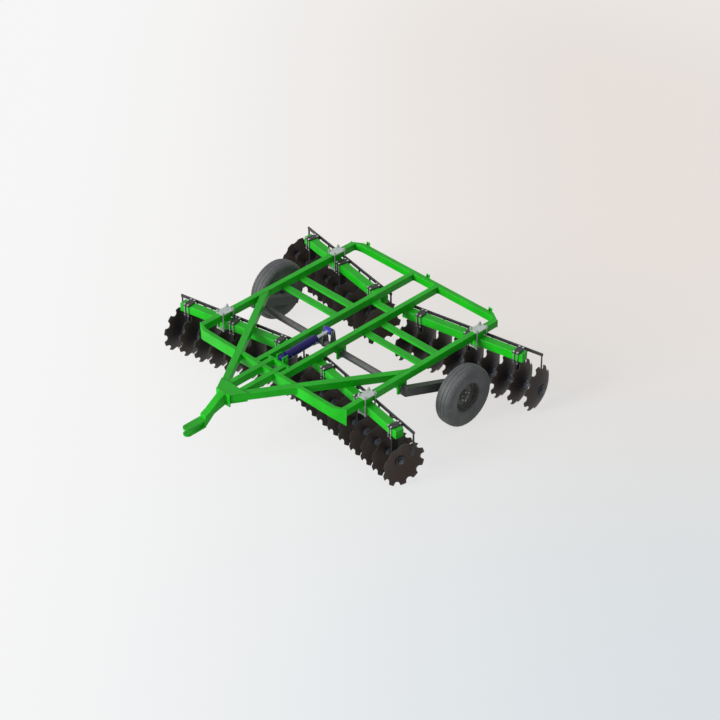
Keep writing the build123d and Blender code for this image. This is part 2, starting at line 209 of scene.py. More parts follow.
def paint(name, colour, roughness, patches=0.10, chips=0.0, dust_and_sheen=0.0, shine=0.3):
    """Sprayed paint: broad patches, an orange-peel skin, chips down to primer, and a pale film of dust, laid
    thicker on top as dust and a painted sheen.
    """
    material = bpy.data.materials.new(name)
    tree = blank(material)
    place = add_node(tree, "ShaderNodeTexCoord").outputs["Object"]
    facing = add_node(tree, "ShaderNodeNewGeometry").outputs["Normal"]
    specks = noise(tree, place, 38.0, 6.0, 0.7)
    shade = mapped(tree, noise(tree, place, 2.6, 5.0, 0.6), 0.35, 0.65)
    skin = blended(tree, shade, toned(colour, 1 - patches), toned(colour, 1 + patches))
    # faces that look up get up to four times the pale film: settled dust and a painted sheen of the pale sky
    top_sheen_and_dust = mapped(tree, along(tree, facing, (0, 0, 1)), 0.5, 0.95, dust_and_sheen, dust_and_sheen * 4)
    dust_and_sheen_film = mapped(tree, specks, 0.36, 0.70, 0.0, top_sheen_and_dust)
    dusted_and_sheened = blended(tree, dust_and_sheen_film, skin, dust_and_sheen_colour)
    chipped = blended(tree, mapped(tree, specks, 0.60, 0.63, 0.0, chips), dusted_and_sheened, primer_colour)
    gloss = mapped(tree, specks, 0.3, 0.7, roughness - 0.05, roughness + 0.10)
    surface(tree, chipped, gloss, noise(tree, place, 260.0, 2.0), 0.12, shine=shine)
    return material


green_paint = paint("green_paint", (0.006, 0.50, 0.007), 0.38, patches=0.13, chips=0.04, dust_and_sheen=0.028,
                    shine=0.2)
green_edge = paint("green_edge", (0.014, 0.60, 0.016), 0.36, chips=0.35, dust_and_sheen=0.02, shine=0.25)
body_of = {node: body for body, row in frame["record"]["behaviour"]["bodies"].items() for node in row}


def clean_mesh(node):
    """A CAD node's shape as plain faces, its loose triangles merged."""
    source = nodes[node].data
    mesh = bpy.data.meshes.new(node)
    mesh.from_pydata([v.co.copy() for v in source.vertices], [], [tuple(p.vertices) for p in source.polygons])
    shape = bmesh.new()
    shape.from_mesh(mesh)
    bmesh.ops.remove_doubles(shape, verts=shape.verts, dist=2e-5)
    bmesh.ops.dissolve_limit(shape, angle_limit=radians(1), verts=shape.verts, edges=shape.edges)
    shape.to_mesh(mesh)
    shape.free()
    return mesh


def eased(node, radius, *finishes):
    """The CAD node's own shape with its sharp edges rounded, which stands for the node."""
    mesh = clean_mesh(node)
    for finish in finishes:
        mesh.materials.append(finish)
    mesh.shade_smooth()
    piece = linked(f"{node}_eased", mesh)
    edges = piece.modifiers.new("edges", "BEVEL")
    edges.width = radius
    edges.segments = 2
    edges.limit_method = "ANGLE"
    edges.angle_limit = radians(35)
    edges.harden_normals = True
    edges.material = len(finishes) - 1
    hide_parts(node)
    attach(piece, body_of[node])
    return piece


# each member comes after those that it is welded to
bar_edge, plate_edge = 0.005, 0.0025
members = (
    ("rear_beam", bar_edge), ("side_rail_left", bar_edge), ("side_rail_right", bar_edge),
    ("diagonal_left", bar_edge), ("diagonal_right", bar_edge), ("tongue_bars", bar_edge),
    ("front_bar", bar_edge), ("centre_rails", bar_edge), ("cross_members_left", plate_edge),
    ("cross_members_right", plate_edge), ("centre_member", plate_edge), ("nose", plate_edge),
    ("tongue", bar_edge), ("clevis", plate_edge), ("anchor", plate_edge), ("shaft_bearings", plate_edge),
)
for node, edge in members:
    eased(node, edge, green_paint, green_edge)
for gang in ("front", "rear"):
    for side in ("left", "right"):
        eased(f"gang_beam_{gang}_{side}", bar_edge, green_paint, green_edge)


# Welds: a bead laid by hand wherever one member of the frame meets another,
# its ripples a few millimetres apart, under the same green paint.
def add_tree(name, *sockets):
    """An empty node tree with named inputs, each by its name and kind, and one geometry output."""
    tree = bpy.data.node_groups.new(name, "GeometryNodeTree")
    for socket, kind in sockets:
        tree.interface.new_socket(name=socket, in_out="INPUT", socket_type=f"NodeSocket{kind}")
    tree.interface.new_socket(name="Made", in_out="OUTPUT", socket_type="NodeSocketGeometry")
    return tree, tree.nodes.new("NodeGroupInput").outputs


def end_tree(tree, repeated, finish):
    """Ends a tree: what it repeats is made real and gets its finish."""
    solid = add_node(tree, "GeometryNodeRealizeInstances", {"Geometry": repeated})
    finished = add_node(tree, "GeometryNodeSetMaterial", {"Geometry": solid.outputs[0], "Material": finish})
    add_node(tree, "NodeGroupOutput", {"Made": finished.outputs[0]})


def finished_mesh(holder):
    """An object's mesh after its modifiers."""
    graph = bpy.context.evaluated_depsgraph_get()
    return bpy.data.meshes.new_from_object(holder.evaluated_get(graph))


def grown(name, mesh, tree, **inputs):
    """What a node tree makes of a mesh, as a plain mesh."""
    seed = linked(name, mesh)
    maker = seed.modifiers.new("maker", "NODES")
    maker.node_group = tree
    for item in tree.interface.items_tree:
        if item.in_out == "INPUT" and item.name in inputs:
            value = inputs[item.name]
            maker[item.identifier] = [float(v) for v in value] if isinstance(value, tuple) else value
    made = finished_mesh(seed)
    bpy.data.objects.remove(seed)
    made.name = name
    return made


def fitted(name, mesh, body, place=None):
    """A finished piece: the mesh set in its place in the machine, riding on its body."""
    if place is not None:
        mesh.transform(place)
        if place.determinant() < 0:
            mesh.flip_normals()
    piece = linked(name, mesh)
    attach(piece, body)
    return piece


weld_tree, given = add_tree("weld_beads", ("Seams", "Geometry"), ("Step", "Float"), ("Radius", "Float"),
                            ("Finish", "Material"))
seam = add_node(weld_tree, "GeometryNodeMeshToCurve", {"Mesh": given["Seams"]})
spots = add_node(weld_tree, "GeometryNodeCurveToPoints", {"Curve": seam.outputs[0], "Length": given["Step"]},
                 mode="LENGTH")
ripple = add_node(weld_tree, "GeometryNodeMeshIcoSphere", {"Radius": given["Radius"], "Subdivisions": 1})
smooth = add_node(weld_tree, "GeometryNodeSetShadeSmooth", {"Geometry": ripple.outputs[0]})
growth = add_node(weld_tree, "FunctionNodeRandomValue", {2: 0.88, 3: 1.08, "Seed": 7}, data_type="FLOAT")
laid = add_node(weld_tree, "GeometryNodeInstanceOnPoints", {
    "Points": spots.outputs[0], "Instance": smooth.outputs[0], "Scale": growth.outputs[1],
})
end_tree(weld_tree, laid.outputs[0], given["Finish"])


weld_step, weld_r = 0.0052, 0.0064


def beaded(name, paths, finish, body, place=None, step=weld_step, radius=weld_r):
    """A weld bead along each path of points, as a finished piece."""
    corners, links = [], []
    for path in paths:
        links += [(len(corners) + k, len(corners) + k + 1) for k in range(len(path) - 1)]
        corners += path
    mesh = bpy.data.meshes.new("seams")
    mesh.from_pydata(corners, links, [])
    beads = grown(name, mesh, weld_tree, Step=step, Radius=radius, Finish=finish)
    fitted(name, beads, body, place)


seam_step, seam_gap = 0.010, 0.001


def seams(node, carriers):
    """The stretches of a member's edges that lie on the members that carry it."""
    faces = []
    for carrier in carriers:
        mesh = nodes[carrier].data
        faces.append(BVHTree.FromPolygons([v.co for v in mesh.vertices], [p.vertices for p in mesh.polygons]))
    mesh = clean_mesh(node)
    paths = []
    for edge in mesh.edges:
        start, end = (mesh.vertices[v].co for v in edge.vertices)
        count = max(2, round((end - start).length / seam_step))
        path = []
        for k in range(count + 1):
            point = start.lerp(end, k / count)
            if any(face.find_nearest(point, seam_gap)[0] for face in faces):
                path.append(point)
            else:
                paths.append(path)
                path = []
        paths.append(path)
    return [path for path in paths if len(path) > 2]


weld_paint = paint("weld_paint", (0.008, 0.42, 0.010), 0.42, chips=0.2, dust_and_sheen=0.08, shine=0.3)
paths = []
for nth, (node, _) in enumerate(members):
    paths += seams(node, [carrier for carrier, _ in members[:nth]])
beaded("frame_welds", paths, weld_paint, "frame")


# Discs: rolled steel, pressed hollow, with rounded notches round a ground edge.
# Nine slide on each square axle, their hollow sides one way.
def steel(name, colour, worn, roughness, metal=0.75, shaded_side_colour=None, shine=0.5):
    """Bare or oiled steel: stains, a fine grain, and a polished rim. Its round side may take a darker colour as
    painted shade, darkest towards the hub.
    """
    material = bpy.data.materials.new(name)
    tree = blank(material)
    place = add_node(tree, "ShaderNodeTexCoord").outputs["Object"]
    stains = noise(tree, place, 9.0, 7.0, 0.65)
    stained = mapped(tree, stains, 0.38, 0.66)
    base = blended(tree, stained, toned(colour, 0.62), toned(colour))
    reach = add_node(tree, "ShaderNodeAttribute", attribute_name="reach").outputs["Fac"]
    # painted shade and a painted reflection of the spools: the round side turns dark blue-grey, most towards the
    # hub
    if shaded_side_colour:
        hollow = add_node(tree, "ShaderNodeAttribute", attribute_name="hollow").outputs["Fac"]
        painted_shade_side = blended(tree, stained, toned(shaded_side_colour, 0.8), toned(shaded_side_colour))
        shade_toward_hub = blended(tree, mapped(tree, reach, 0.35, 0.85, 0.0, 0.8), painted_shade_side, base)
        base = blended(tree, hollow, shade_toward_hub, base)
    polished = blended(tree, mapped(tree, reach, 0.90, 1.0, 0.0, 0.55), base, toned(worn))
    gloss = mapped(tree, stains, 0.3, 0.7, roughness - 0.08, roughness + 0.12)
    surface(tree, polished, gloss, noise(tree, place, 140.0, 4.0, 0.7), 0.25, metal, shine)
    return material


def meshed(name, shape, sharp_from):
    """A finished shape as a mesh, smooth but for corners sharper than so many degrees."""
    bmesh.ops.recalc_face_normals(shape, faces=shape.faces)
    mesh = bpy.data.meshes.new(name)
    shape.to_mesh(mesh)
    shape.free()
    mesh.shade_smooth()
    mesh.set_sharp_from_angle(angle=radians(sharp_from))
    return mesh


disc_r, disc_flat_r, disc_bore_r, disc_curve_r = 0.305, 0.074, 0.021, 0.625
disc_steel, edge_steel, edge_grind = 0.006, 0.0045, 0.965
notch_count, notch_depth, notch_half, notch_bow = 10, 0.043, 0.049, 2.4
tooth_round, tooth_ease = 0.006, 0.17
disc_count, disc_pitch = 9, 0.240
# the discs' round sides are dark blue-grey as painted shade
disc_finish = steel("disc_steel", (0.066, 0.043, 0.034), (0.10, 0.095, 0.095), 0.52, metal=0.15,
                    shaded_side_colour=(0.036, 0.035, 0.040), shine=0.3)


def notched_disc():
    """One disc about the X axis, its hollow side towards +X, a tooth straight down."""
    outline = []
    for notch in range(notch_count):
        middle = 2 * pi * notch / notch_count
        # places from the middle of a notch, in halves of its width
        reaches = [-1.62, -1.36, -1.16, -1.06, -1.0, -0.93, -0.8, -0.6, -0.32]
        for reach in reaches + [0] + [-r for r in reversed(reaches)]:
            angle = middle + asin(reach * notch_half / disc_r)
            inside = max(0.0, 1 - abs(reach) ** notch_bow)
            outside = max(0.0, abs(reach) - 1)
            tip = tooth_round * max(0.0, 1 - outside / tooth_ease)
            outline.append((angle, disc_r - max(notch_depth * sqrt(inside), tip)))
        outline.append((middle + pi / notch_count, disc_r))
    bed = disc_curve_r - sqrt(disc_curve_r**2 - disc_flat_r**2)

    def dish(r):
        """How far the disc is pressed out of its flat at a radius."""
        return max(0.0, disc_curve_r - sqrt(disc_curve_r**2 - r**2) - bed)

    shape = bmesh.new()
    hollow = shape.verts.layers.float.new("hollow")
    span = shape.verts.layers.float.new("reach")

    def ring(side, share, lift=0.0):
        """One ring of corners on one face, a share of the way from flat to edge, or the bore."""
        row = []
        for angle, edge in outline:
            r = disc_bore_r if share < 0 else disc_flat_r + share * (edge - disc_flat_r)
            corner = shape.verts.new((dish(r) + lift, r * cos(angle), r * sin(angle)))
            corner[hollow] = side
            corner[span] = r / edge
            row.append(corner)
        return row

    shares = (-1, 0, 0.16, 0.34, 0.52, 0.70, 0.85, 0.95)
    rings = [ring(1, share, disc_steel) for share in shares + (1,)]
    rings.append(ring(0, 1, edge_steel))
    rings += [ring(0, share) for share in (edge_grind,) + shares[::-1]]
    rings.append(rings[0])
    for inner, outer in zip(rings, rings[1:]):
        for k in range(len(inner)):
            j = (k + 1) % len(inner)
            shape.faces.new((inner[k], inner[j], outer[j], outer[k]))
    return meshed("notched_disc", shape, 40)


# one shape repeated at even steps, as the pieces are threaded on an axle
row_tree, given = add_tree("threaded_row", ("Shape", "Geometry"), ("Count", "Int"), ("First", "Vector"),
                           ("Step", "Vector"), ("Finish", "Material"))
line = add_node(row_tree, "GeometryNodeMeshLine", {
    "Count": given["Count"], "Start Location": given["First"], "Offset": given["Step"],
}, mode="OFFSET")
threaded = add_node(row_tree, "GeometryNodeInstanceOnPoints", {
    "Points": line.outputs[0], "Instance": given["Shape"],
})
end_tree(row_tree, threaded.outputs[0], given["Finish"])


def gang_place(gang, side):
    """From a gang's own places (outwards, backwards, up from the axle) to the machine's."""
    joint = joints[f"gang_{gang}_{side}_spin"]
    hand = 1 if side == "left" else -1
    out = Vector(joint["axis"]) * hand
    back = Vector((-out.y, out.x, 0)) * hand
    return carrying(out, back, (0, 0, 1), joint["pos_m"])


def own_corners(node, gang, side):
    """A CAD node's corners in its gang's own places."""
    inward = gang_place(gang, side).inverted()
    return [inward @ v.co for v in nodes[node].data.vertices]


def threaded_row(name, shape, count, first, finish):
    """A row of like shapes at the discs' pitch."""
    return grown(name, shape, row_tree, Count=count, First=first, Step=(disc_pitch, 0, 0), Finish=finish)


# for each gang, the place of its innermost disc, and whether its hollows face out
gangs = {}
for gang, hollow_out in (("front", True), ("rear", False)):
    reached = [corner.x for corner in own_corners(f"discs_{gang}_left", gang, "left")]
    first_hub = min(reached) if hollow_out else max(reached) - (disc_count - 1) * disc_pitch
    gangs[gang] = (first_hub, hollow_out)
    for side in ("left", "right"):
        shape = notched_disc()
        if not hollow_out:
            shape.transform(Matrix.Rotation(pi, 4, "Z"))
        name = f"discs_{gang}_{side}"
        row = threaded_row(f"{name}_dressed", shape, disc_count, (first_hub, 0, 0), disc_finish)
        piece = fitted(f"{name}_dressed", row, f"gang_{gang}_{side}", gang_place(gang, side))
        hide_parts(name)


# Spools: waisted castings that keep the discs apart on the square axle, with a
# broad washer and a nut drawn up at each end.
def turned(name, profile, sides=32, bored=False):
    """A solid turned about the X axis, from (along, radius) pairs, or a ring where it is bored."""
    shape = bmesh.new()
    rings = []
    for x, radius in profile:
        angles = [2 * pi * k / sides for k in range(sides)]
        rings.append([shape.verts.new((x, radius * cos(a), radius * sin(a))) for a in angles])
    for low, high in zip(rings, rings[1:] + rings[:1] * bored):
        for k in range(sides):
            j = (k + 1) % sides
            shape.faces.new((low[k], low[j], high[j], high[k]))
    if not bored:
        shape.faces.new(rings[0])
        shape.faces.new(rings[-1])
    return meshed(name, shape, 32)


def both_ways(half):
    """A profile whose second half mirrors its first."""
    return half + [(-x, r) for x, r in reversed(half)]


def merged(name, meshes, finish):
    """Several meshes as one, in one finish."""
    shape = bmesh.new()
    for mesh in meshes:
        shape.from_mesh(mesh)
    whole = bpy.data.meshes.new(name)
    shape.to_mesh(whole)
    shape.free()
    whole.materials.clear()
    whole.materials.append(finish)
    return whole


spool_finish = steel("spool_iron", (0.17, 0.195, 0.235), (0.30, 0.30, 0.30), 0.5, metal=0.2)
black_iron = steel("black_iron", (0.028, 0.028, 0.030), (0.10, 0.10, 0.10), 0.5, metal=0.3)
nut_finish = steel("plated_steel", (0.52, 0.56, 0.53), (0.6, 0.6, 0.6), 0.36, metal=0.7)
spool_half, waist_r, spool_flange_r = (disc_pitch - disc_steel) / 2, 0.0255, 0.050
spool_profile = both_ways([
    (-spool_half, spool_flange_r - 0.003), (-spool_half + 0.003, spool_flange_r),
    (-spool_half + 0.010, spool_flange_r), (-spool_half + 0.016, 0.040), (-spool_half + 0.032, 0.031),
    (-spool_half + 0.060, waist_r + 0.001), (-0.03, waist_r),
])
washer_profile = [(0, 0.070), (0.002, 0.072), (0.010, 0.072), (0.012, 0.070)]
end_nut_profile = [(0.012, 0.030), (0.014, 0.034), (0.026, 0.034), (0.0285, 0.029)]
stub_profile = [(0.012, 0.018), (0.042, 0.018), (0.044, 0.016)]
for gang, (first_hub, hollow_out) in gangs.items():
    low = first_hub - (0 if hollow_out else disc_steel)
    high = low + (disc_count - 1) * disc_pitch + disc_steel
    for side in ("left", "right"):
        body, carried = f"gang_{gang}_{side}", gang_place(gang, side)
        spool = turned("spool", spool_profile, 24)
        seat = first_hub + spool_half + (disc_steel if hollow_out else 0)
        row = threaded_row(f"spools_{gang}_{side}", spool, disc_count - 1, (seat, 0, 0), spool_finish)
        piece = fitted(f"spools_{gang}_{side}", row, body, carried)
        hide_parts(f"axle_{gang}_{side}")
        washers, nuts = [], []
        for end, way in ((low, -1), (high, 1)):
            washer = turned("washer", washer_profile, 40)
            nut = turned("nut", end_nut_profile, 6)
            stub = turned("stub", stub_profile, 24)
            for mesh, heap in ((washer, washers), (nut, nuts), (stub, nuts)):
                mesh.transform(Matrix.Translation((end, 0, 0)) @ Matrix.Scale(way, 4, (1, 0, 0)))
                if way < 0:
                    mesh.flip_normals()
                heap.append(mesh)
        for name, heap, finish in (("end_washers", washers, black_iron), ("end_nuts", nuts, spool_finish)):
            fitted(f"{name}_{gang}_{side}", merged(name, heap, finish), body, carried)

# Hangers: flame-cut standards, sprayed black, each clamped to its beam by four
# bolts through a cap, with a round greased bearing housing on the axle.
upright = Matrix.Rotation(-pi / 2, 4, "Y")


def slab(name, low, high, edge):
    """A flat plate or block between two corners, its edges a little round."""
    shape = bmesh.new()
    bmesh.ops.create_cube(shape, size=1)
    for corner in shape.verts:
        corner.co = Vector(((l + h) / 2 + c * (h - l) for l, h, c in zip(low, high, corner.co)))
    bmesh.ops.bevel(shape, geom=shape.edges[:], offset=edge, segments=2, affect="EDGES", profile=0.5)
    return meshed(name, shape, 50)


def bent_rod(name, path, radius, bend=0.0, sides=10):
    """A round rod that follows straight runs, its corners bent to a radius."""
    points = [Vector(p) for p in path]
    smooth = [points[0]]
    for before, corner, after in zip(points, points[1:], points[2:]):
        first = corner + (before - corner).normalized() * bend
        last = corner + (after - corner).normalized() * bend
        for k in range(6):
            t = k / 5
            smooth.append(first * (1 - t) ** 2 + corner * 2 * t * (1 - t) + last * t**2)
    smooth.append(points[-1])
    curve = bpy.data.curves.new(name, "CURVE")
    curve.dimensions = "3D"
    curve.bevel_depth = radius
    curve.bevel_resolution = max(1, sides // 4)
    curve.use_fill_caps = True
    run = curve.splines.new("POLY")
    run.points.add(len(smooth) - 1)
    for point, place in zip(run.points, smooth):
        point.co = (*place, 1)
    holder = bpy.data.objects.new(name, curve)
    mesh = bpy.data.meshes.new_from_object(holder)
    bpy.data.objects.remove(holder)
    mesh.shade_smooth()
    mesh.set_sharp_from_angle(angle=radians(50))
    return mesh


def upright_nut(across, height, sides=6, foot=(0, 0, 0)):
    """A nut, bolt head or round boss standing up from its foot, its corners chamfered."""
    nut = turned("nut", [
        (0, across * 0.95), (height * 0.12, across), (height * 0.82, across), (height, across * 0.86),
    ], sides)
    nut.transform(upright)
    nut.transform(Matrix.Translation(foot))
    return nut


def closed(*corners):
    """A path through some corners and back to the first."""
    points = [Vector(corner) for corner in corners]
    return points + points[:1]


beam_low, beam_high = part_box("gang_beam_front_left")
beam_half = (beam_high.z - beam_low.z) / 2
axle_z = joints["gang_front_left_spin"]["pos_m"][2]
beam_bottom, beam_top = beam_low.z - axle_z, beam_high.z - axle_z
plate_t, cap_half, cap_over, foot_x, foot_y = 0.016, 0.045, 0.025, 0.0155, 0.0445
cap_top, plate_bottom = beam_top + plate_t, beam_bottom - plate_t
housing_half, housing_r, housing_lip, housing_bore_r = 0.035, 0.062, 0.004, 0.0275
bolt_r, bolt_x, bolt_y, bolt_thread = 0.008, 0.027, beam_half + 0.0105, 0.022
bolt_hex, bolt_head, bolt_nut = 0.0155, 0.012, 0.014
hanger_round, cap_round = 0.003, 0.003
nipple_x, nipple_lean = 0.022, radians(-40)
nipple_profile = [
    (-0.002, 0.0062), (0.006, 0.0062), (0.008, 0.0040), (0.013, 0.0034), (0.0145, 0.0048), (0.018, 0.0030),
]
housing_profile = both_ways([
    (-housing_half - housing_lip, housing_bore_r), (-housing_half - housing_lip, 0.040),
    (-housing_half, 0.046), (-housing_half, housing_r - 0.004), (-housing_half + 0.004, housing_r),
])
black_paint = paint("black_paint", (0.012, 0.013, 0.014), 0.40, patches=0.25, chips=0.05, dust_and_sheen=0.05)
black_edge = paint("black_edge", (0.05, 0.052, 0.055), 0.38, patches=0.25, chips=0.5, dust_and_sheen=0.05)
for gang, (first_hub, hollow_out) in gangs.items():
    outer_hub = first_hub + (disc_count - 1) * disc_pitch
    first_gap = 0 if hollow_out else 1
    middles = [outer_hub - disc_pitch * (k + 0.5) for k in range(first_gap, disc_count - 1, 3)]
    for side in ("left", "right"):
        eased(f"hangers_{gang}_{side}", hanger_round, black_paint, black_edge)
        black, bright, nipples, feet = [], [], [], []
        for nth, middle in enumerate(middles):
            at = Matrix.Translation((middle, 0, 0))
            nipple = turned("nipple", nipple_profile, 12)
            seat = Matrix.Translation((nipple_x, 0, housing_r))
            nipple.transform(at @ Matrix.Rotation(nipple_lean, 4, "X") @ seat @ upright)
            nipples.append(nipple)
            feet.append(closed(
                (middle - foot_x, -foot_y, plate_bottom), (middle + foot_x, -foot_y, plate_bottom),
                (middle + foot_x, foot_y, plate_bottom), (middle - foot_x, foot_y, plate_bottom),
            ))
            here = [turned("housing", housing_profile, 40, bored=True)]
            # the outermost hanger's cap is in the CAD
            if nth:
                here.append(slab("cap", (-cap_half, -beam_half - cap_over, beam_top),
                                 (cap_half, beam_half + cap_over, cap_top), cap_round))
            black += here
            for x in (-bolt_x, bolt_x):
                for y in (-bolt_y, bolt_y):
                    ends = [(x, y, plate_bottom - bolt_thread), (x, y, cap_top)]
                    shank = bent_rod("shank", ends, bolt_r)
                    head = upright_nut(bolt_hex, bolt_head, foot=(x, y, cap_top))
                    nut = upright_nut(bolt_hex, bolt_nut, foot=(x, y, plate_bottom - bolt_nut))
                    here += [shank, head, nut]
                    bright += [shank, head, nut]
            for mesh in here:
                mesh.transform(at)
        carried = gang_place(gang, side)
        for name, heap, finish, slot in (
            ("hanger_caps", black, black_paint, "black_paint"),
            ("hanger_bolts", bright, nut_finish, "zinc_steel"),
            ("grease_nipples", nipples, nut_finish, "zinc_steel"),
        ):
            fitted(f"{name}_{gang}_{side}", merged(name, heap, finish), "frame", carried)
        beaded(f"hanger_welds_{gang}_{side}", feet, black_edge, "frame", carried)

# Beam ends: a thin plate let into each open end of a gang beam and welded round,
# which keeps the soil out of the tube.
cap_t, cap_inset, cap_weld_in, cap_ease = 0.004, 0.004, 0.001, 0.001
cap_weld_step, cap_weld_r = 0.006, 0.0045
cap_side, cap_low, cap_high = beam_half - cap_inset, beam_bottom + cap_inset, beam_top - cap_inset
for gang in gangs:
    for side in ("left", "right"):
        reached = [corner.x for corner in own_corners(f"gang_beam_{gang}_{side}", gang, side)]
        caps, rims = [], []
        for end, way in ((min(reached), -1), (max(reached), 1)):
            inner, outer = sorted((end, end + way * cap_t))
            caps.append(slab("cap", (inner, -cap_side, cap_low), (outer, cap_side, cap_high), cap_ease))
            x = end + way * cap_weld_in
            rims.append(closed(
                (x, -cap_side, cap_low), (x, cap_side, cap_low),
                (x, cap_side, cap_high), (x, -cap_side, cap_high),
            ))
        carried, caps = gang_place(gang, side), merged("beam_caps", caps, green_paint)
        fitted(f"beam_caps_{gang}_{side}", caps, "frame", carried)
        beaded(f"beam_cap_welds_{gang}_{side}", rims, weld_paint, "frame", carried,
               cap_weld_step, cap_weld_r)

# Scrapers: a flat bar behind each gang beam, with a shank and blade that
# cleans the hollow side of each disc. Each shank is bolted on the bar's back.
scraper_paint = paint("scraper_paint", (0.030, 0.033, 0.036), 0.42, patches=0.2, chips=0.15, dust_and_sheen=0.08)
scraper_edge = paint("scraper_edge", (0.09, 0.095, 0.10), 0.40, patches=0.2, chips=0.6, dust_and_sheen=0.05)
scraper_round, scraper_bolt_across, scraper_bolt_height = 0.0015, 0.0105, 0.008
above_shanks, bar_foot = beam_bottom + 0.05, beam_bottom + 0.08
for gang in gangs:
    for side in ("left", "right"):
        node = f"scrapers_{gang}_{side}"
        eased(node, scraper_round, scraper_paint, scraper_edge)
        corners = own_corners(node, gang, side)
        bar_back = max(c.y for c in corners if c.z > above_shanks)
        bar_middle = (max(c.z for c in corners) + max(c.z for c in corners if c.z < bar_foot)) / 2
        row_middle = (min(c.x for c in corners) + max(c.x for c in corners)) / 2
        shank = row_middle - (disc_count - 1) / 2 * disc_pitch
        bolt = upright_nut(scraper_bolt_across, scraper_bolt_height)
        bolt.transform(Matrix.Rotation(-pi / 2, 4, "X"))
        name = f"scraper_bolts_{gang}_{side}"
        row = threaded_row(name, bolt, disc_count, (shank, bar_back, bar_middle), black_iron)
        fitted(name, row, "frame", gang_place(gang, side))

# Rail clamps: plated plates above the rail and below the beam, drawn together
# by four long bolts at their corners, which pass beside the rail and the beam.
zinc = bpy.data.materials.new("zinc_plate")
tree = blank(zinc)
place = add_node(tree, "ShaderNodeTexCoord").outputs["Object"]
spangle = add_node(tree, "ShaderNodeTexVoronoi", {"Vector": place, "Scale": 55.0})
haze = noise(tree, place, 22.0, 6.0)
cell = blended(tree, spangle.outputs["Color"], (0.42, 0.48, 0.44, 1), (0.60, 0.66, 0.61, 1))
dulled = blended(tree, mapped(tree, haze, 0.5, 0.75, 0.0, 0.5), cell, (0.62, 0.63, 0.60, 1))
surface(tree, dulled, mapped(tree, haze, to_low=0.28, to_high=0.55), haze, 0.2, metal=0.55)

clamp_edge, clamp_bolt_r, clamp_bolt_x, clamp_bolt_y = 0.0025, 0.0095, 0.053, 0.083
clamp_thread, clamp_across, clamp_nut, clamp_washer, clamp_head = 0.034, 0.0165, 0.016, 0.003, 0.012
rail_middle = (rail_low.x + rail_high.x) / 2
for side, hand in (("left", 1), ("right", -1)):
    clamp_low, clamp_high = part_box(f"rail_clamps_{side}")
    head_z, shank_top = clamp_low.z - clamp_head, clamp_high.z + clamp_thread
    eased(f"rail_clamps_{side}", clamp_edge, zinc)
    bolts = []
    for gang in gangs:
        joint = joints[f"gang_{gang}_{side}_spin"]
        x = hand * rail_middle
        y = joint["pos_m"][1] + x * joint["axis"][1] / joint["axis"][0]
        for dx in (-clamp_bolt_x, clamp_bolt_x):
            for dy in (-clamp_bolt_y, clamp_bolt_y):
                shank = turned("shank", [
                    (head_z, clamp_bolt_r), (shank_top - 0.002, clamp_bolt_r),
                    (shank_top, clamp_bolt_r - 0.002),
                ], 16)
                shank.transform(upright)
                washer = upright_nut(clamp_across + 0.004, clamp_washer, 24, (0, 0, clamp_high.z))
                nut = upright_nut(clamp_across, clamp_nut, foot=(0, 0, clamp_high.z + clamp_washer))
                head = upright_nut(clamp_across, clamp_head, foot=(0, 0, head_z))
                for mesh in (shank, washer, nut, head):
                    mesh.transform(Matrix.Translation((x + dx, y + dy, 0)))
                    bolts.append(mesh)
    fitted(f"clamp_bolts_{side}", merged("clamp_bolts", bolts, nut_finish), "frame")

# Lift: a round cross shaft in four hanging bearings, with square-section arms
# trailing to the wheels. It is sprayed dark grey.
grey_paint = paint("grey_paint", (0.085, 0.092, 0.094), 0.44, patches=0.14, chips=0.1, dust_and_sheen=0.10)
grey_edge = paint("grey_edge", (0.14, 0.15, 0.155), 0.42, patches=0.14, chips=0.4, dust_and_sheen=0.08)
grey_weld = paint("grey_weld", (0.07, 0.076, 0.078), 0.5, patches=0.2, chips=0.3, dust_and_sheen=0.1)
arm_edge = 0.004
eased("lift_shaft", arm_edge, grey_paint, grey_edge)
swing = Vector(joints["lift_swing"]["pos_m"])
# a weld runs round the shaft on both sides of each plate of the lever, and inside each arm
shaft_r, weld_places, weld_turn = 0.045, (0.0615, 0.0785, 1.3185), 40
rings = []
for x in weld_places:
    for way in (-1, 1):
        angles = [2 * pi * k / weld_turn for k in range(weld_turn + 1)]
        rings.append([swing + Vector((x * way, shaft_r * cos(a), shaft_r * sin(a))) for a in angles])
beaded("lift_welds", rings, grey_weld, "lift")

# Shaft flanges: a bored ring on each side of every bearing plate, held by four
# bolts, that takes the side wear of the shaft's bush.
bearing_half, bush_r, flange_r, flange_t, flange_round = 0.014, shaft_r + 0.0006, 0.068, 0.008, 0.002
flange_bolts, flange_circle, flange_hex, flange_head = 4, 0.0568, 0.0085, 0.007
flange_profile = [
    (0, bush_r), (0, flange_r), (flange_t - flange_round, flange_r), (flange_t, flange_r - flange_round),
    (flange_t, bush_r),
]
outer_x, inner_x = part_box("centre_rails")[1].x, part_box("centre_member")[1].x
centre_x = outer_x - (outer_x - inner_x) / 2
flanges, flange_heads = [], []
for x in (-rail_middle, -centre_x, centre_x, rail_middle):
    for way in (-1, 1):
        at = Matrix.Translation((x + way * bearing_half, swing.y, swing.z))
        ring = turned("flange", flange_profile, 48, bored=True)
        ring.transform(at @ Matrix.Rotation(0 if way > 0 else pi, 4, "Z"))
        flanges.append(ring)
        for k in range(flange_bolts):
            a = pi / 4 + k * 2 * pi / flange_bolts
            head = upright_nut(flange_hex, flange_head)
            seat = Matrix.Translation((way * flange_t, flange_circle * cos(a), flange_circle * sin(a)))
            head.transform(at @ seat @ Matrix.Rotation(way * pi / 2, 4, "Y"))
            flange_heads.append(head)
fitted("shaft_flanges", merged("shaft_flanges", flanges, green_paint), "frame")
fitted("flange_bolts", merged("flange_bolts", flange_heads, nut_finish), "frame")

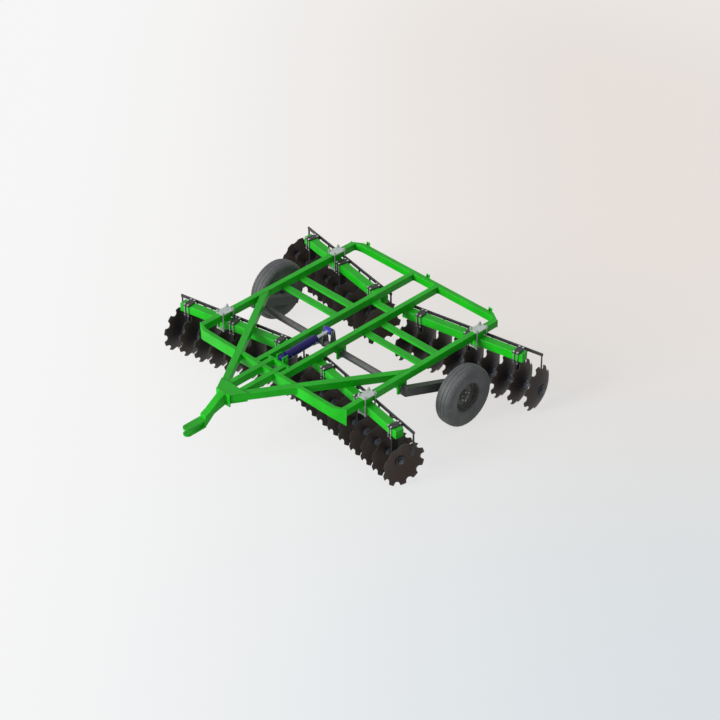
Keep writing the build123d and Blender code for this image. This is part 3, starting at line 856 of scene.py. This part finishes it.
# Wheels: bias-ply implement tyres of black rubber, nearly slick, moulded with
# three shallow grooves, lugged shoulders and two thin rings on each wall.
rubber = bpy.data.materials.new("tyre_rubber")
tree = blank(rubber)
place = add_node(tree, "ShaderNodeTexCoord").outputs["Object"]
dirt = noise(tree, place, 7.0, 6.0, 0.65)
black = blended(tree, mapped(tree, dirt, 0.4, 0.7), (0.082, 0.087, 0.089, 1), (0.15, 0.154, 0.153, 1))
surface(tree, black, mapped(tree, dirt, to_low=0.5, to_high=0.75), noise(tree, place, 320.0, 3.0), 0.2)

tyre_r, tyre_half, bead_r, bead_half, widest_r = 0.410, 0.120, 0.205, 0.090, 0.300
wall_steps, crown_steps, wall_bow, crown_bow = 8, 29, 0.8, 0.62
grooves, groove_half, groove_depth, groove_from_r = (-0.050, 0.0, 0.050), 0.0035, 0.006, 0.39
tread_from_r, tread_step = 0.38, 0.004
shoulder_lugs, lug_steps, lug_gap, lug_depth, lug_from_x, lug_from_r = 44, 6, 2, 0.004, 0.084, 0.368
wall_rings, wall_ring_t = ((0.318, 0.330), (0.236, 0.242)), 0.0030


def tyre_mesh(name):
    """A tyre about the X axis: grooved tread, lugged shoulders, rounded walls, hollow bore."""
    half = []
    for k in range(wall_steps):
        t = k / wall_steps
        bulge = (tyre_half - bead_half) * sin(t * pi / 2) ** wall_bow
        half.append((bead_half + bulge, bead_r + (widest_r - bead_r) * t))
    for k in range(crown_steps + 1):
        t = k / crown_steps * pi / 2
        half.append((tyre_half * cos(t) ** crown_bow, widest_r + (tyre_r - widest_r) * sin(t) ** crown_bow))
    full = half + [(-x, r) for x, r in reversed(half[:-1])]
    fine = []
    for (x0, r0), (x1, r1) in zip(full, full[1:]):
        pieces = max(1, int(abs(x1 - x0) / tread_step)) if min(r0, r1) > tread_from_r else 1
        fine += [(x0 + (x1 - x0) * k / pieces, r0 + (r1 - r0) * k / pieces) for k in range(pieces)]
    fine.append(full[-1])
    shape = bmesh.new()
    turns = shoulder_lugs * lug_steps
    rings = []
    for k in range(turns):
        a = 2 * pi * k / turns
        between_lugs = k % lug_steps >= lug_steps - lug_gap
        ring = []
        for x, r in fine:
            grooved = r > groove_from_r and any(abs(x - g) < groove_half for g in grooves)
            cut = groove_depth if grooved else 0.0
            if between_lugs and abs(x) > lug_from_x and r > lug_from_r:
                cut = max(cut, lug_depth)
            wall = wall_ring_t if any(low < r < high for low, high in wall_rings) else 0.0
            wide = x + (wall if x > 0 else -wall)
            wide = max(-tyre_half, min(tyre_half, wide))
            ring.append(shape.verts.new((wide, (r - cut) * cos(a), (r - cut) * sin(a))))
        rings.append(ring)
    for ring, after in zip(rings, rings[1:] + rings[:1]):
        for j in range(len(fine)):
            i = (j + 1) % len(fine)
            shape.faces.new((ring[j], ring[i], after[i], after[j]))
    mesh = meshed(name, shape, 38)
    mesh.materials.append(rubber)
    return mesh


for side in ("left", "right"):
    hub = Matrix.Translation(joints[f"wheel_{side}_spin"]["pos_m"])
    piece = fitted(f"tyre_{side}_dressed", tyre_mesh("tyre"), f"wheel_{side}", hub)
    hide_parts(f"tyre_{side}")

# Rims: a rolled ring with a dished disc welded in it, pierced by eight round
# hand holes, and a turned hub with six wheel nuts and a pressed cap.
rim_paint = paint("rim_paint", (0.095, 0.098, 0.094), 0.45, patches=0.2, chips=0.1, dust_and_sheen=0.15)
ring_half, ring_r, ring_steel, well_half, well_depth = 0.090, 0.2045, 0.012, 0.030, 0.006
hole_count, hole_r, hole_circle = 8, 0.019, 0.133
hub_half, hub_bore_r, hub_face = 0.060, 0.0305, 0.034
nut_count, nut_circle, nut_across, nut_height = 6, 0.061, 0.0125, 0.015
well_r = ring_r - ring_steel
ring_profile = both_ways([
    (-ring_half, ring_r - 0.004), (-ring_half, ring_r), (-ring_half + 0.006, ring_r),
    (-ring_half + 0.012, ring_r - 0.002),
]) + both_ways([
    (ring_half - 0.008, ring_r - 0.010), (ring_half - 0.030, well_r), (well_half, well_r - well_depth),
])
disc_back = [(-0.006, 0.176), (-0.002, 0.160), (0.008, 0.140), (0.012, 0.120), (0.010, 0.100), (0.010, 0.045)]
disc_face = [(0.020, 0.045), (0.020, 0.100), (0.022, 0.120), (0.018, 0.140), (0.008, 0.160), (0.004, 0.176)]
disc_profile = [(0.002, 0.188)] + disc_back + disc_face + [(0.012, 0.188)]
hub_profile = [
    (-hub_half, hub_bore_r), (-hub_half, 0.052), (-hub_half + 0.004, 0.056), (-0.030, 0.056),
    (-0.022, 0.066), (0.008, 0.075), (0.030, 0.075), (0.033, 0.072), (hub_face, 0.050), (0.054, 0.046),
    (hub_half, 0.042), (hub_half, hub_bore_r),
]
cap_profile = [
    (hub_half, 0.0365), (hub_half + 0.010, 0.036), (hub_half + 0.015, 0.032), (hub_half + 0.017, 0.020),
    (hub_half + 0.0175, 0.004),
]
circle_tree, given = add_tree("bolt_circle", ("Shape", "Geometry"), ("Count", "Int"), ("Radius", "Float"),
                              ("Finish", "Material"))
circle = add_node(circle_tree, "GeometryNodeMeshCircle", {
    "Vertices": given["Count"], "Radius": given["Radius"],
})
placed = add_node(circle_tree, "GeometryNodeInstanceOnPoints", {
    "Points": circle.outputs[0], "Instance": given["Shape"],
})
end_tree(circle_tree, placed.outputs[0], given["Finish"])


def pierced(disc, punches):
    """A wheel disc with its hand holes cut through."""
    holder, tool = linked("disc", disc), linked("punches", punches)
    cut = holder.modifiers.new("cut", "BOOLEAN")
    cut.operation = "DIFFERENCE"
    cut.solver = "EXACT"
    cut.object = tool
    mesh = finished_mesh(holder)
    for thing in (holder, tool):
        bpy.data.objects.remove(thing)
    mesh.shade_smooth()
    mesh.set_sharp_from_angle(angle=radians(35))
    return mesh


for side, hand in (("left", 1), ("right", -1)):
    hub = Matrix.Translation(joints[f"wheel_{side}_spin"]["pos_m"]) @ Matrix.Scale(hand, 4, (1, 0, 0))
    ring = turned("ring", ring_profile, 72, bored=True)
    punch = turned("punch", [(-0.05, hole_r), (0.05, hole_r)], 20)
    punch.transform(upright.inverted())
    punches = grown("punches", punch, circle_tree, Count=hole_count, Radius=hole_circle, Finish=rim_paint)
    punches.transform(upright)
    disc = pierced(turned("disc", disc_profile, 72, bored=True), punches)
    barrel = turned("hub", hub_profile, 48, bored=True)
    cap = turned("cap", cap_profile, 32)
    wheel = merged("wheel", [ring, disc, barrel, cap], rim_paint)
    piece = fitted(f"rim_{side}_dressed", wheel, f"wheel_{side}", hub)
    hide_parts(f"rim_{side}")
    nut = upright_nut(nut_across, nut_height, foot=(0, 0, hub_face))
    name = f"wheel_nuts_{side}"
    nuts = grown(name, nut, circle_tree, Count=nut_count, Radius=nut_circle, Finish=nut_finish)
    fitted(name, nuts, f"wheel_{side}", hub @ upright.inverted())

# Cylinder: a navy barrel pinned to the anchor, with a screwed gland, two
# plugged ports, and a chromed rod whose knuckle is sprayed a brighter blue.
blue_paint = paint("blue_paint", (0.010, 0.004, 0.14), 0.32, patches=0.15, dust_and_sheen=0.02, shine=0.2)
knuckle_paint = paint("knuckle_paint", (0.035, 0.028, 0.34), 0.34, patches=0.15, dust_and_sheen=0.02, shine=0.3)
chrome = steel("chrome_rod", (0.55, 0.56, 0.58), (0.6, 0.6, 0.6), 0.22, metal=1.0)
anchor_pin = Vector(joints["ram_tilt"]["pos_m"])
ram_run = Vector(joints["ram_slide"]["axis"])
crosswise = Vector((1, 0, 0))
ram_place = carrying(ram_run, crosswise, crosswise.cross(ram_run), anchor_pin)
ram_length = (swing.y - anchor_pin.y) / ram_run.y
barrel_r, barrel_front, barrel_back, knuckle_r = 0.057, 0.058, 0.558, 0.043
barrel_edge, rod_edge, paint_over = 0.003, 0.004, 0.002
gland_profile = [
    (barrel_back, 0.026), (barrel_back, 0.050), (barrel_back + 0.014, 0.050), (barrel_back + 0.017, 0.047),
    (barrel_back + 0.017, 0.034), (barrel_back + 0.024, 0.032), (barrel_back + 0.024, 0.026),
]
port_places = (barrel_front + 0.045, barrel_back - 0.05)
port_r, port_height, port_sunk, plug_r, plug_height = 0.019, 0.016, 0.003, 0.013, 0.022
eased("barrel", barrel_edge, blue_paint)
rod = eased("rod", rod_edge, chrome, knuckle_paint)
for face in rod.data.polygons:
    reached = (ram_place.inverted() @ face.center).x
    face.material_index = 1 if reached > ram_length - knuckle_r - paint_over else 0
rod.modifiers["edges"].material = -1
trims, plugs = [turned("gland", gland_profile, 32, bored=True)], []
for x in port_places:
    for heap, radius, height, sides, out_by in (
        (trims, port_r, port_height, 24, barrel_r - port_sunk),
        (plugs, plug_r, plug_height, 6, barrel_r - port_sunk + port_height),
    ):
        boss = upright_nut(radius, height, sides)
        boss.transform(Matrix.Translation((x, out_by, 0)) @ Matrix.Rotation(-pi / 2, 4, "X"))
        heap.append(boss)
for name, heap, finish, slot in (
    ("cylinder_trim", trims, blue_paint, "blue_paint"), ("port_plugs", plugs, spool_finish, "spool_steel"),
):
    fitted(name, merged(name, heap, finish), "ram_barrel", ram_place)

# Pins: each end of the cylinder's two pins is held by a plated washer and by
# a split pin of bent wire, pushed through the pin and opened.
anchor_pin_half, anchor_pin_r = 0.0735, 0.016
lever_pin_half, lever_pin_r, lever_up = 0.090, 0.015, 0.225
pin_wire, pin_bend, pin_ring, keeper_t, keeper_in, wire_in = 0.0022, 0.004, 0.011, 0.003, 0.012, 0.005
for name, body, middle, reach, radius in (
    ("anchor_pin", "frame", anchor_pin, anchor_pin_half, anchor_pin_r),
    ("lever_pin", "lift", swing + Vector((0, 0, lever_up)), lever_pin_half, lever_pin_r),
):
    fixings = []
    for way in (-1, 1):
        bore, rim = radius + 0.0005, radius + 0.009
        washer = turned("washer", [(0, bore), (0, rim), (keeper_t, rim), (keeper_t, bore)], 28, bored=True)
        washer.transform(Matrix.Translation((way * (reach - keeper_in) - keeper_t / 2, 0, 0)))
        x = way * (reach - wire_in)
        wire = bent_rod("split_pin", [
            (x, 0, -radius - 0.012), (x, 0, radius + 0.004), (x, pin_ring, radius + 0.010),
            (x, 0, radius + 0.018), (x, -pin_ring * 0.6, radius + 0.008),
        ], pin_wire, pin_bend, 8)
        fixings += [washer, wire]
    keepers = merged(name, fixings, nut_finish)
    fitted(f"{name}_keepers", keepers, body, Matrix.Translation(middle))

# Lug bolts: a black steel bolt and its nut, drawn up through each of the three
# flat lugs that stand on the rear beam.
lug_t, lug_drop, lug_across, lug_head, lug_nut, lug_root = 0.016, 0.022, 0.014, 0.010, 0.014, 0.03
lug_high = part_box("rear_beam")[1]
lug_corners = [v.co for v in nodes["rear_beam"].data.vertices if v.co.z > rail_high.z + lug_root]
corner_x = sorted({round(corner.x, 4) for corner in lug_corners})
lug_bolts = []
for x in ((corner_x[0] + corner_x[1]) / 2, 0.0, (corner_x[-1] + corner_x[-2]) / 2):
    for y, height, way in ((lug_high.y, lug_head, -1), (lug_high.y - lug_t, lug_nut, 1)):
        hexed = upright_nut(lug_across, height)
        hexed.transform(
            Matrix.Translation((x, y, lug_high.z - lug_drop)) @ Matrix.Rotation(way * pi / 2, 4, "X")
        )
        lug_bolts.append(hexed)
fitted("lug_bolts", merged("lug_bolts", lug_bolts, black_iron), "frame")
